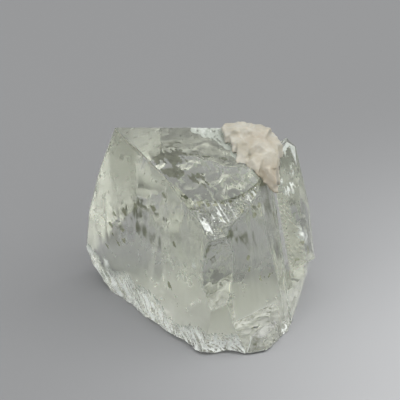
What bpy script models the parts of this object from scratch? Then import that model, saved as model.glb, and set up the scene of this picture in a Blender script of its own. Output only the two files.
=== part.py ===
"""A clear topaz crystal, broken from its rock, with a cream patch of feldspar grown into its top.

The crystal is a rhombic prism with a roof, bounded by flat growth faces. Everything broken or worn on it
is a relief: a block whose inner side carries chips, ribs or steps is cut from the crystal.
Metres, +Z up. X runs along the crest of the roof, -Y is the front, and the broken base rests on Z = 0.
"""

import math

import bmesh
import bpy
import numpy as np
from mathutils import Matrix, Vector

MM = 0.001
OBJECT_NAME = "topaz_crystal_specimen"

GRID = 1.15 * MM                # spacing of the points in every relief
SLIVER = 0.003 * MM             # points closer together than this are one
GAP = 0.3 * MM                  # clearance between the topaz and the feldspar
FAR = 12.0                      # mm from a broken face to the flat outer side of the block that cuts it

CREST = (-11.1, 1.9, 25.0)      # left end of the crest of the roof, in mm
MARGIN = 2.0                    # mm of stock left outside a broken face for its relief to be cut from
STOCK = 30.0                    # half side in mm of the cube the growth faces are cut from

# Flat faces: compass angle of the outward direction from +X, its tilt upward, a point in mm on the face.
GROWTH_FACES = {
    "roof_front": (270.0, 68.0, CREST),
    "roof_back": (90.0, 46.4, CREST),
    "front_right": (311.0, 10.5, (11.6, -7.8, 0.3)),
    "right": (347.5, 12.0, (11.3, -7.8, 0.3)),
    "back_left": (123.8, 15.2, CREST),
    "back_right": (48.0, 10.0, (13.5, 6.2, 4.0)),
    "bevel": (233.6, 26.0, (-6.5, -3.6, 22.8)),
}
SIDE_CRYSTAL = {
    "front": (292.0, 12.0, (11.2, -2.6, 14.0)),
    "flank": (328.0, 24.0, (12.3, -1.0, 14.0)),
    "left": (225.0, 4.0, (9.6, -1.0, 18.0)),
    "right": (350.0, 12.5, (14.35, 2.0, 8.8)),
    "right_low": (350.0, 6.5, (14.25, 4.9, 11.5)),
    "back": (75.0, 4.0, (12.0, 5.5, 10.0)),
    "tip_front": (285.0, 52.0, (10.8, 1.6, 22.45)),
    "tip_right": (10.0, 46.0, (10.8, 1.6, 22.45)),
    "tip_left": (170.0, 50.0, (10.8, 1.6, 22.45)),
    "under": (340.0, -40.0, (14.4, 2.0, 5.0)),
    "foot": (0.0, -90.0, (0.0, 0.0, 1.0)),
}
LUMP = {
    "top": (300.0, 62.0, (7.2, -11.2, 2.5)),
    "front": (286.0, 16.0, (6.9, -12.6, 0.6)),
    "right": (325.0, 12.0, (9.3, -10.5, 1.0)),
    "left": (205.0, 25.0, (5.5, -11.5, 1.2)),
    "back": (60.0, 0.0, (9.0, -9.0, 1.0)),
    "foot": (290.0, -72.0, (7.0, -12.0, 0.15)),
}
NUB = {
    "top": (348.0, 25.5, (15.0, 0.5, 9.3)),
    "crown": (280.0, 62.0, (12.4, -4.5, 11.7)),
    "right": (350.0, 4.0, (14.85, 0.0, 8.0)),
    "front": (284.0, 8.0, (12.8, -4.5, 10.5)),
    "back": (80.0, 4.0, (13.6, 0.8, 8.0)),
    "under": (310.0, -48.0, (13.9, -2.0, 7.1)),
    "left": (200.0, 0.0, (11.9, -4.0, 9.0)),
}
OUTGROWTHS = {"side_crystal": SIDE_CRYSTAL, "nub": NUB, "lump": LUMP}
SEAT = (16.0, 39.7, (2.3, 1.9, 25.0))     # plane on which the feldspar sits

# Feldspar grains: centre in mm, half sizes in mm along their own axes, turn about Z and lean back in degrees.
GRAINS = (
    ((3.7, 1.2, 24.7), (1.2, 1.4, 1.0), 15, 10),
    ((5.2, -1.1, 24.1), (0.7, 1.0, 2.9), -8, 42),
    ((5.4, 1.4, 24.6), (1.4, 1.6, 1.1), 30, 5),
    ((6.6, -1.0, 23.7), (1.1, 1.4, 1.8), 20, 30),
    ((7.3, 1.2, 24.1), (1.4, 1.7, 1.35), -20, 12),
    ((8.3, -1.9, 22.8), (0.95, 1.2, 1.5), 10, 35),
    ((8.5, 0.9, 23.1), (1.2, 1.8, 1.4), 25, 8),
    ((6.7, -3.2, 22.4), (0.9, 1.1, 1.5), -18, 30),
    ((8.4, -4.2, 20.9), (1.0, 0.85, 1.6), 12, 15),
    ((8.8, -2.4, 21.6), (0.8, 1.1, 1.9), -12, 20),
    ((9.0, 0.6, 22.2), (0.8, 1.6, 1.5), 5, 15),
    ((7.1, 0.2, 22.7), (2.6, 2.8, 1.8), 0, 22),
    ((8.1, 0.2, 20.8), (1.5, 2.6, 2.0), 10, 0),
    ((5.8, 2.8, 23.0), (2.2, 1.3, 1.6), -10, -30),
    ((8.2, 2.9, 21.9), (1.5, 1.2, 1.7), 18, -25),
)


def millimetres(point):
    return Vector(point) * MM


def direction(compass, tilt):
    """Unit vector with the given compass angle from +X and tilt above level, in degrees."""
    c, t = math.radians(compass), math.radians(tilt)
    return Vector((math.cos(c) * math.cos(t), math.sin(c) * math.cos(t), math.sin(t)))


# ---- relief patterns: numpy functions of position on a face, in millimetres ----

LOW_BITS = np.uint64(0xFFFFFFFF)


def fractions(i, j, seed):
    """Three repeatable numbers from 0 to 1 for each cell (i, j) of a square lattice."""
    n = np.asarray(i * 374761393 + j * 668265263 + seed * 974634777).astype(np.uint64)
    found = []
    for step in range(3):
        n = ((n ^ (n >> np.uint64(13))) & LOW_BITS) * np.uint64(1274126177 + 2 * step) & LOW_BITS
        found.append(((n ^ (n >> np.uint64(15))) & np.uint64(0xFFFF)).astype(float) / 65535.0)
    return found


def swell(u, v, size, seed):
    """Smooth waves from -1 to 1, one value per lattice cell eased into the next."""
    u, v = u / size, v / size
    i, j = np.floor(u).astype(np.int64), np.floor(v).astype(np.int64)
    s, t = u - i, v - j
    s, t = s * s * (3 - 2 * s), t * t * (3 - 2 * t)
    corner = [[fractions(i + a, j + b, seed)[0] for b in (0, 1)] for a in (0, 1)]
    low = corner[0][0] * (1 - t) + corner[0][1] * t
    high = corner[1][0] * (1 - t) + corner[1][1] * t
    return 2 * (low * (1 - s) + high * s) - 1


def hackle(u, v, size, seed, tilt, dish):
    """Broken surface of dished facets that meet in sharp ridges, in units of its cell size."""
    u, v = u / size, v / size
    i, j = np.floor(u).astype(np.int64), np.floor(v).astype(np.int64)
    best = np.full(u.shape, 1e9)
    for a in (-1, 0, 1):
        for b in (-1, 0, 1):
            p, q, r = fractions(i + a, j + b, seed)
            x, y = u - (i + a + 0.1 + 0.8 * p), v - (j + b + 0.1 + 0.8 * q)
            lean_x, lean_y, _ = fractions(i + a, j + b, seed + 71)
            level = 0.35 * r + tilt * ((lean_x - 0.5) * x + (lean_y - 0.5) * y) + dish * (x * x + y * y)
            best = np.minimum(best, level)
    return best - 0.3


def grooves(u, v, width, length, seed):
    """Growth lines that run along v, from -1 to 1."""
    return swell(u / width, v / length, 1.0, seed)


def broken(u, v, layers):
    """Layers of hackle on one another: for each its height, the size of its facets, seed, tilt and dish."""
    return sum(height * hackle(u, v, size, seed, tilt, dish) for height, size, seed, tilt, dish in layers)


def nearest(u, v, size, seed):
    """Centre of the cell that each point lies in, for cells scattered one to a lattice square, and its chance."""
    i, j = np.floor(u / size).astype(np.int64), np.floor(v / size).astype(np.int64)
    best = np.full(u.shape, 1e9)
    found = np.zeros((3, *u.shape))
    for a in (-1, 0, 1):
        for b in (-1, 0, 1):
            p, q, chance = fractions(i + a, j + b, seed)
            x, y = (i + a + 0.1 + 0.8 * p) * size, (j + b + 0.1 + 0.8 * q) * size
            away = (u - x) ** 2 + (v - y) ** 2
            found = np.where(away < best, np.stack((x, y, chance)), found)
            best = np.minimum(best, away)
    return found


# Height in mm, size in mm, seed, tilt and dish of each layer of facets.
RIM_CHIPS = ((0.8, 3.0, 41, 1.3, 0.6),)
SHELLS = ((0.8, 7.5, 12, 0.6, 0.5), (0.3, 2.6, 17, 0.9, 0.5))
BACK_CHIPS = ((1.5, 8.0, 31, 0.8, 0.55), (0.6, 3.2, 36, 1.2, 0.5))
SPARKLE_FACETS = ((0.45, 1.9, 51, 1.4, 0.4),)
SCOOP_SHELLS = ((0.3, 3.2, 57, 1.0, 0.5),)
SPLINTERS = ((0.9, 2.8, 33, 1.6, 0.5),)
CRUMBS = ((0.25, 2.4, 61, 1.2, 0.6),)

# Places where a face stands out or, below zero, lies back: height, middle and radius in mm on the face.
LEFT_FOOT = (
    (0.8, (-13.0, -8.0), 3.5),
    (0.3, (1.5, -11.5), 4.0),
    (-0.8, (-2.2, -12.2), 1.8),
    (-0.5, (-8.3, -12.3), 2.0),
)
FRONT_NOTCH = ((-1.1, (3.5, 0.0), 3.0),)

FOOT_SPREAD = 0.5               # mm that the whole foot of the left face stands out
FOOT_TOP = -7.0                 # where that foot starts, in mm up from the middle of the face
FOOT_RISE = 4.0                 # mm over which it comes to its full spread
BOW = 1.2                       # mm that the far left of the left face bows outward
RIM_FADE = 5.0                  # mm over which the chips of a rim die out upward
STEP = 0.2                      # height in mm of one step of the base
STEPS = 3                       # most steps that a patch of the base lies above the ground


def places(u, v, table):
    """Sum of round swellings, each falling smoothly to 0 outside its radius."""
    return sum(
        height * np.exp(-((u - middle[0]) ** 2 + (v - middle[1]) ** 2) / radius ** 2)
        for height, middle, radius in table
    )


def rim(u, v, top):
    """Chipped hollows that fade out above the given height."""
    fade = np.clip((top - v) / RIM_FADE, 0, 1) ** 2
    return fade * (broken(u, v, RIM_CHIPS) - 0.05)


def striated(u, v):
    """Growth lines, with the left flank bowed outward and the foot spread."""
    flare = (FOOT_SPREAD + places(u, v, LEFT_FOOT)) * np.clip((FOOT_TOP - v) / FOOT_RISE, 0, 1)
    bow = BOW * np.clip((-u - 3.0) / 6.0, 0, 1) * np.clip(1 - ((v - 4.0) / 11.5) ** 2, 0, 1)
    lines = 0.16 * grooves(u, v, width=2.6, length=16.0, seed=3) + 0.12 * swell(u, v, size=6.0, seed=8)
    return 0.3 + flare + bow + lines + rim(u, v, top=FOOT_TOP + 1.0)


def conchoidal(u, v):
    """Shell-like hollows, with a notch in the middle of the foot."""
    return broken(u, v, SHELLS) + 0.4 * rim(u, v, top=5.0) + places(u, v, FRONT_NOTCH)


def stepped(u, v):
    """Cleavage: level patches, in whole steps, of which the outermost lie on the plane itself."""
    x, y, chance = nearest(u, v, size=3.6, seed=21)
    middle = np.exp(-(x * x + y * y) / 30)
    height = 0.7 + 0.55 * swell(x, y, size=8.0, seed=23) + 0.3 * (chance - 0.5) + 0.7 * middle
    return STEP * np.clip(np.ceil(STEPS * height) - STEPS, -STEPS, 0)


def chipped(u, v):
    return broken(u, v, BACK_CHIPS)


def hollow(u, v, half_width, half_height, depth):
    """Dish that reaches below its plane inside an oval and rises clear of it outside."""
    return depth * ((u / half_width) ** 2 + (v / half_height) ** 2 - 1)


def sparkling(u, v):
    return hollow(u, v, half_width=6.0, half_height=6.0, depth=0.3) + broken(u, v, SPARKLE_FACETS)


def scooped(u, v):
    """Long hollow whose length leans 35 degrees from upright."""
    s, t = u * 0.82 - v * 0.57, u * 0.57 + v * 0.82
    return hollow(s, t, half_width=3.4, half_height=7.5, depth=1.1) + broken(u, v, SCOOP_SHELLS)


def frosted(u, v):
    return 0.5 * broken(u, v, CRUMBS) + 0.02


def splintered(u, v):
    """Coarse broken surface, its top edge drawn as a bow."""
    return broken(u, v, SPLINTERS) + 0.01 * u * u


def crumbled(u, v):
    return broken(u, v, CRUMBS)


# Broken faces: outward compass angle and tilt, a point in mm on the face, half width and height in mm, relief.
BROKEN_FACES = {
    "left": (220.9, 3.2, (-6.5, -3.6, 12.0), 19.0, 17.0, striated),
    "front": (266.0, 1.5, (0.0, -13.1, 0.0), 14.0, 24.0, conchoidal),
    "back": (95.0, 14.0, (0.0, 12.5, 4.0), 18.0, 18.0, chipped),
    "base": (270.0, -90.0, (0.0, 0.0, 0.0), 22.0, 22.0, stepped),
}
# Breaks that take only a piece off the stock.
CHIPS = {
    "sparkle": (286.0, 41.2, (3.0, -9.35, 19.8), 7.0, 6.0, sparkling),
    "scoop": (272.0, 6.0, (2.6, -12.2, 13.5), 7.0, 9.0, scooped),
    "frost": (282.0, 72.4, (-1.5, 1.9, 25.0), 11.0, 9.0, frosted),
    "corner": (164.0, -44.9, (-13.2, 2.3, 1.1), 8.0, 8.0, crumbled),
    "undercut": (105.0, -18.0, (0.0, 11.3, 9.5), 20.0, 12.0, splintered),
}


def relief_block(name, compass, tilt, point, half_width, half_height, relief):
    """Closed block outside a face: its inner side is the face with the relief, its outer side is flat."""
    columns, rows = round(half_width * MM / GRID), round(half_height * MM / GRID)
    mesh = bmesh.new()
    bmesh.ops.create_grid(mesh, x_segments=2 * columns, y_segments=2 * rows, size=1.0)
    bmesh.ops.triangulate(mesh, faces=mesh.faces, quad_method="ALTERNATE")
    bmesh.ops.scale(mesh, verts=mesh.verts, vec=(columns * GRID / MM, rows * GRID / MM, 1.0))
    flat = np.array([vert.co for vert in mesh.verts])
    for vert, height in zip(mesh.verts, relief(flat[:, 0], flat[:, 1])):
        vert.co.z = height
    border = [edge for edge in mesh.edges if edge.is_boundary]
    wall = bmesh.ops.extrude_edge_only(mesh, edges=border)["geom"]
    for vert in (g for g in wall if isinstance(g, bmesh.types.BMVert)):
        vert.co.z = FAR
    bmesh.ops.holes_fill(mesh, edges=[edge for edge in mesh.edges if edge.is_boundary])
    outward, across = direction(compass, tilt), direction(compass + 90, 0)
    turn = Matrix((across, outward.cross(across), outward)).transposed()
    bmesh.ops.transform(mesh, verts=mesh.verts, matrix=Matrix.Translation(point) @ turn.to_4x4())
    bmesh.ops.scale(mesh, verts=mesh.verts, vec=(MM, MM, MM))
    return solid(name, mesh)


def solid(name, mesh):
    """Object made of a finished mesh, its faces turned outward."""
    bmesh.ops.recalc_face_normals(mesh, faces=mesh.faces)
    data = bpy.data.meshes.new(name)
    mesh.to_mesh(data)
    mesh.free()
    return bpy.data.objects.new(name, data)


def growth_block(name, faces, reach=STOCK):
    """Convex solid: what is left of a cube once everything outside each face is cut away."""
    mesh = bmesh.new()
    bmesh.ops.create_cube(mesh, size=2 * reach * MM)
    for compass, tilt, point in faces:
        whole = mesh.verts[:] + mesh.edges[:] + mesh.faces[:]
        made = bmesh.ops.bisect_plane(
            mesh, geom=whole, plane_co=millimetres(point), plane_no=direction(compass, tilt), clear_outer=True
        )
        bmesh.ops.edgeloop_fill(mesh, edges=[e for e in made["geom_cut"] if isinstance(e, bmesh.types.BMEdge)])
    return solid(name, mesh)


def moved_out(face, distance):
    """The same flat face a number of millimetres further out."""
    compass, tilt, point = face[:3]
    return compass, tilt, Vector(point) + direction(compass, tilt) * distance


def grain_cluster(name, grains):
    """Blocks with clipped corners that overlap one another, all in one mesh."""
    mesh = bmesh.new()
    for number, (centre, half, turn, lean) in enumerate(grains):
        placed = Matrix.Translation(millimetres(centre)) @ Matrix.Rotation(math.radians(turn), 4, "Z")
        placed = placed @ Matrix.Rotation(math.radians(-lean), 4, "X")
        faces = [(0, 0, (half[0], 0, 0)), (180, 0, (-half[0], 0, 0)), (90, 0, (0, half[1], 0)),
                 (270, 0, (0, -half[1], 0)), (0, 90, (0, 0, half[2])), (0, -90, (0, 0, -half[2]))]
        for corner in range(4):
            p, q, r = (float(f) for f in fractions(np.int64(number), np.int64(corner), 83))
            facing = direction(45 + 90 * corner + 50 * (p - 0.5), 25 + 35 * q)
            faces.append((*angles(facing), facing * (min(half) * (1.05 + 0.35 * r))))
        grain = growth_block(name, faces, 2 * max(half))
        grain.data.transform(placed)
        mesh.from_mesh(grain.data)
        bpy.data.objects.remove(grain)
    return solid(name, mesh)


def angles(facing):
    """Compass angle from +X and tilt above level of a direction, in degrees."""
    return math.degrees(math.atan2(facing.y, facing.x)), math.degrees(math.asin(facing.z))


def collection(name):
    found = bpy.data.collections.new(name)
    bpy.context.scene.collection.children.link(found)
    return found


def cut(body, tool, kind="DIFFERENCE"):
    modifier = body.modifiers.new(tool.name, "BOOLEAN")
    modifier.operation = kind
    modifier.object = tool
    modifier.solver = "EXACT"


def weld(body):
    """Closes the hair-thin slivers that cuts leave where three of them meet."""
    modifier = body.modifiers.new("weld", "WELD")
    modifier.merge_threshold = SLIVER


def material(name, color, roughness, transmission=0.0, ior=1.5):
    made = bpy.data.materials.new(name)
    made.use_nodes = True
    shader = made.node_tree.nodes["Principled BSDF"]
    shader.inputs["Base Color"].default_value = (*color, 1.0)
    shader.inputs["Roughness"].default_value = roughness
    shader.inputs["Transmission Weight"].default_value = transmission
    shader.inputs["IOR"].default_value = ior
    return made


def main():
    for obj in list(bpy.data.objects):
        bpy.data.objects.remove(obj)
    solids = collection(OBJECT_NAME)
    tools = collection(OBJECT_NAME + "_cutters")

    def tool(obj):
        tools.objects.link(obj)
        obj.hide_render = True
        obj.display_type = "WIRE"
        return obj

    limits = [moved_out(face, MARGIN) for face in BROKEN_FACES.values()]
    topaz = growth_block("topaz_crystal", list(GROWTH_FACES.values()) + limits)
    topaz.data.materials.append(material("topaz", (0.86, 0.90, 0.84), 0.05, 1.0, 1.62))
    solids.objects.link(topaz)
    above_seat = (SEAT[0] + 180, -SEAT[1], SEAT[2])
    cut(topaz, tool(growth_block("cut_seat", [above_seat])))
    for name, faces in OUTGROWTHS.items():
        cut(topaz, tool(growth_block(name, faces.values())), "UNION")
    for name, face in {**BROKEN_FACES, **CHIPS}.items():
        cut(topaz, tool(relief_block("cut_" + name, *face)))
    weld(topaz)
    feldspar = grain_cluster("feldspar_cluster", GRAINS)
    feldspar.data.materials.append(material("feldspar", (0.80, 0.71, 0.58), 0.75))
    solids.objects.link(feldspar)
    below = [SEAT, GROWTH_FACES["roof_front"], GROWTH_FACES["roof_back"]]
    beside = SIDE_CRYSTAL.values()
    cut(feldspar, tool(growth_block("cut_below_seat", [moved_out(face, GAP / MM) for face in below])))
    feldspar.modifiers[-1].use_self = True
    cut(feldspar, tool(growth_block("cut_side_crystal", [moved_out(face, GAP / MM) for face in beside])))
    weld(feldspar)


main()
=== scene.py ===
"""Looks of the topaz crystal specimen: its surfaces at full detail, materials, floor, light and camera.

The crystal is cut from the same flat faces as its solid, and each broken face by a relief on a finer grid.
Lengths on the specimen are in millimetres, and those of the floor, lights and camera in metres.
"""

import math

import bmesh
import bpy
import numpy as np
from mathutils import Matrix, Vector, noise


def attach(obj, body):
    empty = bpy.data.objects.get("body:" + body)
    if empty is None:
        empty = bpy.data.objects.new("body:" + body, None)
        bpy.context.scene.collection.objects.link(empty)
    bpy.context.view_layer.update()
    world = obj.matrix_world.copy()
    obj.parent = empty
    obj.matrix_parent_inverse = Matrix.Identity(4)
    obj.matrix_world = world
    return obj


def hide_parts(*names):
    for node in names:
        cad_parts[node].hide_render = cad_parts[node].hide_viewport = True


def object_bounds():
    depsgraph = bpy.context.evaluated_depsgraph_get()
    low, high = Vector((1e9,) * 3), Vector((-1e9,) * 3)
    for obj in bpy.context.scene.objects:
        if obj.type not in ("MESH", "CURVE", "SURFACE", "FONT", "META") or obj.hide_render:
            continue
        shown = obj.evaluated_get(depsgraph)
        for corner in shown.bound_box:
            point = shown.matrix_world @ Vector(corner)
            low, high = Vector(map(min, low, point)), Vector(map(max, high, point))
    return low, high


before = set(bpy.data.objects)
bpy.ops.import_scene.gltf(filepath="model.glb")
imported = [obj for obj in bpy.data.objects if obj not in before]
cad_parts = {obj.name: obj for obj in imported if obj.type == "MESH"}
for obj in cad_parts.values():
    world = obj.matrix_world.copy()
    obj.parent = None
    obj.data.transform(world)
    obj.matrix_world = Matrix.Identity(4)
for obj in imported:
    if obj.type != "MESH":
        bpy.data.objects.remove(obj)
cad_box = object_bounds()

MM = 0.001

GRID = 0.19                     # spacing of the points in a relief
SPARKLE_GRID = 0.11             # the same on the sparkling patch, whose lines are finer
FAR = 12.0                      # from a broken face to the flat outer side of the block that cuts it
MARGIN = 2.0                    # stock left outside a broken face for its relief to be cut from
STOCK = 30.0                    # half side of the cube the growth faces are cut from

CREST = (-11.1, 1.9, 25.0)      # left end of the crest of the roof

# Flat faces: compass angle of the outward direction from +X, its tilt upward, a point on the face.
GROWTH_FACES = {
    "roof_front": (270.0, 68.0, CREST),
    "roof_back": (90.0, 46.4, CREST),
    "front_right": (311.0, 10.5, (11.6, -7.8, 0.3)),
    "right": (347.5, 12.0, (11.3, -7.8, 0.3)),
    "back_left": (123.8, 15.2, CREST),
    "back_right": (48.0, 10.0, (13.5, 6.2, 4.0)),
    "bevel": (233.6, 26.0, (-6.5, -3.6, 22.8)),
}
SIDE_CRYSTAL = {
    "front": (292.0, 12.0, (11.2, -2.6, 14.0)),
    "flank": (328.0, 24.0, (12.3, -1.0, 14.0)),
    "left": (225.0, 4.0, (9.6, -1.0, 18.0)),
    "right": (350.0, 12.5, (14.35, 2.0, 8.8)),
    "right_low": (350.0, 6.5, (14.25, 4.9, 11.5)),
    "back": (75.0, 4.0, (12.0, 5.5, 10.0)),
    "tip_front": (285.0, 52.0, (10.8, 1.6, 22.45)),
    "tip_right": (10.0, 46.0, (10.8, 1.6, 22.45)),
    "tip_left": (170.0, 50.0, (10.8, 1.6, 22.45)),
    "under": (340.0, -40.0, (14.4, 2.0, 5.0)),
    "foot": (0.0, -90.0, (0.0, 0.0, 1.0)),
}
LUMP = {
    "top": (300.0, 62.0, (7.2, -11.2, 2.5)),
    "front": (286.0, 16.0, (6.9, -12.6, 0.6)),
    "right": (325.0, 12.0, (9.3, -10.5, 1.0)),
    "left": (205.0, 25.0, (5.5, -11.5, 1.2)),
    "back": (60.0, 0.0, (9.0, -9.0, 1.0)),
    "foot": (290.0, -72.0, (7.0, -12.0, 0.15)),
}
NUB = {
    "top": (348.0, 25.5, (15.0, 0.5, 9.3)),
    "crown": (280.0, 62.0, (12.4, -4.5, 11.7)),
    "right": (350.0, 4.0, (14.85, 0.0, 8.0)),
    "front": (284.0, 8.0, (12.8, -4.5, 10.5)),
    "back": (80.0, 4.0, (13.6, 0.8, 8.0)),
    "under": (310.0, -48.0, (13.9, -2.0, 7.1)),
    "left": (200.0, 0.0, (11.9, -4.0, 9.0)),
}
OUTGROWTHS = {"side_crystal": SIDE_CRYSTAL, "nub": NUB, "lump": LUMP}
SEAT = (16.0, 39.7, (2.3, 1.9, 25.0))     # plane on which the feldspar sits

# Feldspar grains: centre, half sizes along their own axes, turn about Z and lean back in degrees.
GRAINS = (
    ((3.7, 1.2, 24.7), (1.2, 1.4, 1.0), 15, 10),
    ((5.2, -1.1, 24.1), (0.7, 1.0, 2.9), -8, 42),
    ((5.4, 1.4, 24.6), (1.4, 1.6, 1.1), 30, 5),
    ((6.6, -1.0, 23.7), (1.1, 1.4, 1.8), 20, 30),
    ((7.3, 1.2, 24.1), (1.4, 1.7, 1.35), -20, 12),
    ((8.3, -1.9, 22.8), (0.95, 1.2, 1.5), 10, 35),
    ((8.5, 0.9, 23.1), (1.2, 1.8, 1.4), 25, 8),
    ((6.7, -3.2, 22.4), (0.9, 1.1, 1.5), -18, 30),
    ((8.4, -4.2, 20.9), (1.0, 0.85, 1.6), 12, 15),
    ((8.8, -2.4, 21.6), (0.8, 1.1, 1.9), -12, 20),
    ((9.0, 0.6, 22.2), (0.8, 1.6, 1.5), 5, 15),
    ((7.1, 0.2, 22.7), (2.6, 2.8, 1.8), 0, 22),
    ((8.1, 0.2, 20.8), (1.5, 2.6, 2.0), 10, 0),
    ((5.8, 2.8, 23.0), (2.2, 1.3, 1.6), -10, -30),
    ((8.2, 2.9, 21.9), (1.5, 1.2, 1.7), 18, -25),
    ((4.4, -0.3, 23.9), (0.9, 1.2, 1.2), 10, 35),
)
CORNERS = 4                     # clipped corners on the upper side of each grain
CORNER_SEED = 83
CORNER_TURN = 50.0              # degrees over which the compass angle of a clipped corner varies
CORNER_TILT = (25.0, 35.0)      # its least tilt upward, and the degrees over which that varies
CORNER_DEPTH = (1.05, 0.35)     # its least distance from the centre in least half sizes, and how that varies
GRAIN_WAVES = ((0.10, 1.3), (0.07, 3.1))  # height and number in a millimetre of the feldspar's unevenness
GRAIN_SINK = 0.05               # how far the uneven surface lies inside the flat one
GRAIN_VOXEL = 0.16              # spacing of the points on the feldspar


# ---- patterns: numpy functions of position on a face ----

LOW_BITS = np.uint64(0xFFFFFFFF)
NEIGHBOURS = [(a, b) for a in (-1, 0, 1) for b in (-1, 0, 1)]
CELL_INSET = 0.1                # share of a lattice square, along each side, that holds no centre of a cell
CELL_ROOM = 0.8                 # share of its width that the centre may lie in
FACET_LEVELS = 0.35             # spread of the levels of facets, in cell sizes
FACET_SINK = 0.3                # mean level of facets, in cell sizes
LEAN_SEED = 71                  # sets the lean of a facet apart from its place


def direction(compass, tilt):
    """Unit vector with the given compass angle from +X and tilt above level, in degrees."""
    c, t = math.radians(compass), math.radians(tilt)
    return Vector((math.cos(c) * math.cos(t), math.sin(c) * math.cos(t), math.sin(t)))


def angles(facing):
    """Compass angle from +X and tilt above level of a direction, in degrees."""
    return math.degrees(math.atan2(facing.y, facing.x)), math.degrees(math.asin(facing.z))


def fractions(i, j, seed):
    """Three repeatable numbers from 0 to 1 for each cell (i, j) of a square lattice."""
    n = np.asarray(i * 374761393 + j * 668265263 + seed * 974634777).astype(np.uint64)
    found = []
    for step in range(3):
        n = ((n ^ (n >> np.uint64(13))) & LOW_BITS) * np.uint64(1274126177 + 2 * step) & LOW_BITS
        found.append(((n ^ (n >> np.uint64(15))) & np.uint64(0xFFFF)).astype(float) / 65535.0)
    return found


def scattered(i, j, seed):
    """Centre of the cell that is scattered in each lattice square, and its chance from 0 to 1."""
    p, q, chance = fractions(i, j, seed)
    return i + CELL_INSET + CELL_ROOM * p, j + CELL_INSET + CELL_ROOM * q, chance


def eased(t):
    """Smooth course from 0 to 1."""
    return t * t * (3 - 2 * t)


def swell(u, v, size, seed):
    """Smooth waves from -1 to 1, one value per lattice cell eased into the next."""
    u, v = u / size, v / size
    i, j = np.floor(u).astype(np.int64), np.floor(v).astype(np.int64)
    s, t = eased(u - i), eased(v - j)
    corner = [[fractions(i + a, j + b, seed)[0] for b in (0, 1)] for a in (0, 1)]
    low = corner[0][0] * (1 - t) + corner[0][1] * t
    high = corner[1][0] * (1 - t) + corner[1][1] * t
    return 2 * (low * (1 - s) + high * s) - 1


def hackle(u, v, size, seed, tilt, dish):
    """Broken surface of dished facets that meet in sharp ridges, in units of its cell size."""
    u, v = u / size, v / size
    i, j = np.floor(u).astype(np.int64), np.floor(v).astype(np.int64)
    best = np.full(u.shape, 1e9)
    for a, b in NEIGHBOURS:
        x, y, chance = scattered(i + a, j + b, seed)
        x, y = u - x, v - y
        lean_x, lean_y, _ = fractions(i + a, j + b, seed + LEAN_SEED)
        slope = tilt * ((lean_x - 0.5) * x + (lean_y - 0.5) * y)
        best = np.minimum(best, FACET_LEVELS * chance + slope + dish * (x * x + y * y))
    return best - FACET_SINK


def nearest(u, v, size, seed):
    """Centre of the scattered cell that each point lies in, and the chance of the cell."""
    i, j = np.floor(u / size).astype(np.int64), np.floor(v / size).astype(np.int64)
    best = np.full(u.shape, 1e9)
    found = np.zeros((3, *u.shape))
    for a, b in NEIGHBOURS:
        x, y, chance = scattered(i + a, j + b, seed)
        x, y = x * size, y * size
        away = (u - x) ** 2 + (v - y) ** 2
        found = np.where(away < best, np.stack((x, y, chance)), found)
        best = np.minimum(best, away)
    return found


def waves(u, v, layers):
    """Layers of smooth waves: for each its height, width, length along v and seed."""
    return sum(height * swell(u / width, v / length, 1.0, seed) for height, width, length, seed in layers)


def broken(u, v, layers):
    """Layers of facets on one another: for each its height, the size of its facets, seed, tilt and dish."""
    return sum(height * hackle(u, v, size, seed, tilt, dish) for height, size, seed, tilt, dish in layers)


def streaks(u, v, layers):
    """Layers of facets drawn out along v: for each its height, width, length, seed, tilt and dish."""
    return sum(
        height * hackle(u, v * width / length, width, seed, tilt, dish)
        for height, width, length, seed, tilt, dish in layers
    )


def places(u, v, table):
    """Sum of round swellings, each falling smoothly to 0 outside its radius."""
    return sum(
        height * np.exp(-((u - middle[0]) ** 2 + (v - middle[1]) ** 2) / radius ** 2)
        for height, middle, radius in table
    )


def hollow(u, v, half_width, half_height, depth):
    """Dish that reaches below its plane inside an oval and rises clear of it outside."""
    return depth * ((u / half_width) ** 2 + (v / half_height) ** 2 - 1)


# ---- reliefs of the faces ----

# Facets: height, size, seed, tilt and dish of each layer.
RIM_CHIPS = ((0.8, 3.0, 41, 1.3, 0.6), (0.35, 1.3, 43, 1.7, 0.5), (0.16, 0.6, 44, 1.7, 0.5))
SHELLS = (
    (0.8, 7.5, 12, 0.6, 0.5),
    (0.3, 2.6, 17, 0.9, 0.5),
    (0.12, 1.2, 19, 1.3, 0.5),
    (0.04, 0.5, 20, 1.3, 0.5),
)
BACK_CHIPS = ((1.5, 8.0, 31, 0.8, 0.55), (0.6, 3.2, 36, 1.2, 0.5), (0.15, 1.2, 38, 1.2, 0.5))
BASE_FACETS = ((0.40, 1.8, 25, 1.5, 0.5), (0.06, 0.6, 26, 1.4, 0.5))
SPARKLE_FACETS = ((0.45, 1.9, 51, 1.4, 0.4), (0.30, 0.7, 53, 1.8, 0.3), (0.14, 0.32, 54, 1.8, 0.3))
SCOOP_SHELLS = ((0.3, 3.2, 57, 1.0, 0.5),)
SPLINTERS = ((0.5, 2.8, 33, 1.6, 0.5), (0.15, 1.1, 34, 1.8, 0.4), (0.05, 0.55, 35, 1.8, 0.4))
CRUMBS = ((0.25, 2.4, 61, 1.2, 0.6), (0.2, 0.9, 63, 1.6, 0.6))

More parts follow.
